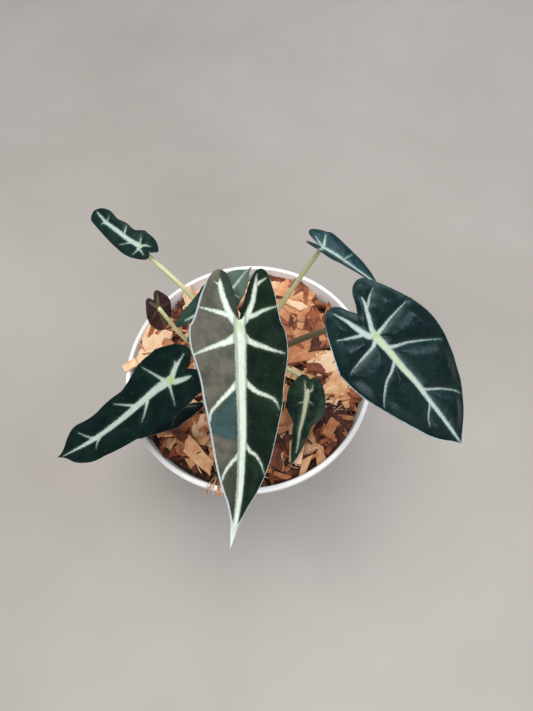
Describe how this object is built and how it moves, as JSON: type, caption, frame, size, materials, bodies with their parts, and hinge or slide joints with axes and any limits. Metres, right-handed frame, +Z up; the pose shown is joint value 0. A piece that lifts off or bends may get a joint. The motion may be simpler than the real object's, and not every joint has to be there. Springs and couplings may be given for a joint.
{
  "type": "potted alocasia",
  "caption": "Potted dwarf alocasia: dark arrow-shaped leaves with pale veins on thin stalks, growing from coarse husk mix in a round white plastic pot.",
  "frame": {"origin": "centre of the pot's underside, on the surface it stands on", "axes": "+Z up, -Y the plant's front, the way the biggest leaf points, +X to the right seen from the front"},
  "size_m": [0.208, 0.1877, 0.2295],
  "materials": {
    "pot": "smooth, slightly glossy",
    "mix": "rough, damp crumbs and fibre",
    "husk": "rough, fibrous, cut faces paler",
    "crown": "matt, ringed by leaf scars",
    "petiole": "satin skin",
    "blade": "leathery satin, pale raised veins, purple underside"
  },
  "bodies": {
    "root": {"pot": "pot", "potting_mix": "mix", "crown": "crown", "blade_behind": "blade", "blade_back_left": "blade", "blade_upright": "blade", "blade_left": "blade", "blade_under_left": "blade", "blade_front": "blade", "blade_young": "blade", "blade_right": "blade", "blade_back_right": "blade", "petiole_behind": "petiole", "petiole_back_left": "petiole", "petiole_upright": "petiole", "petiole_left": "petiole", "petiole_under_left": "petiole", "petiole_front": "petiole", "petiole_young": "petiole", "petiole_right": "petiole", "petiole_back_right": "petiole", "husk_chip_01": "husk", "husk_chip_02": "husk", "husk_chip_03": "husk", "husk_chip_04": "husk", "husk_chip_05": "husk", "husk_chip_06": "husk", "husk_chip_07": "husk", "husk_chip_08": "husk", "husk_chip_09": "husk", "husk_chip_10": "husk", "husk_chip_11": "husk", "husk_chip_12": "husk", "husk_chip_13": "husk", "husk_chip_14": "husk", "husk_chip_15": "husk", "husk_chip_16": "husk", "husk_chip_17": "husk", "husk_chip_18": "husk", "husk_chip_19": "husk", "husk_chip_20": "husk", "husk_chip_21": "husk", "husk_chip_22": "husk", "husk_chip_23": "husk", "husk_chip_24": "husk", "husk_chip_25": "husk", "husk_chip_26": "husk", "husk_chip_27": "husk", "husk_chip_28": "husk"}
  },
  "joints": []
}
